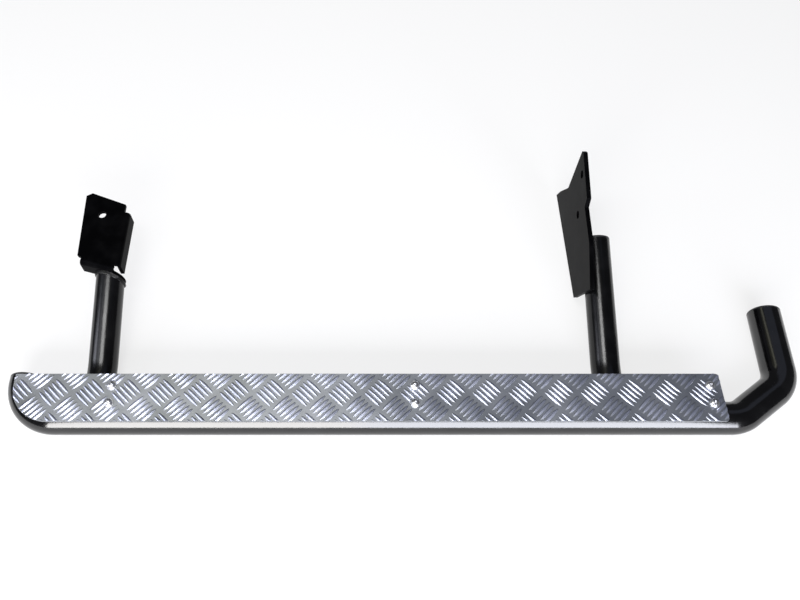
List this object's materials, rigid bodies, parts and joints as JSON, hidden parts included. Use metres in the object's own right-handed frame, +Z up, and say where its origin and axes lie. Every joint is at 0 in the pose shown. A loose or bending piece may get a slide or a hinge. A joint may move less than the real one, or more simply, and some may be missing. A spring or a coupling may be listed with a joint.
{
  "type": "side step",
  "caption": "Fixed vehicle side step: bent black tube with a kicked end, patterned aluminium tread plate and tube legs with steel mounting brackets.",
  "frame": {"origin": "centre of the left bracket's bolt hole, on the bracket's upper face", "axes": "+X along the step to its kicked end, +Y inward to the vehicle, +Z up out of the left bracket's bolt hole"},
  "size_m": [1.0412, 0.3882, 0.1528],
  "materials": {
    "black_coat": "gloss black powder coat",
    "bare_aluminium": "bare rolled five-bar tread sheet",
    "zinc_plate": "bright zinc plate",
    "black_plastic": "moulded end plug"
  },
  "bodies": {
    "root": {"main_tube": "black_coat", "left_end_plug": "black_plastic", "kick_end_plug": "black_plastic", "left_leg": "black_coat", "right_leg": "black_coat", "right_leg_plug": "black_plastic", "left_strap": "black_coat", "middle_strap": "black_coat", "right_strap": "black_coat", "inner_rail": "black_coat", "tread_plate": "bare_aluminium", "plate_screws": "zinc_plate", "plate_washers": "zinc_plate", "left_bracket": "black_coat", "right_bracket": "black_coat", "left_bracket_weld": "black_coat", "right_bracket_welds": "black_coat"}
  },
  "joints": []
}
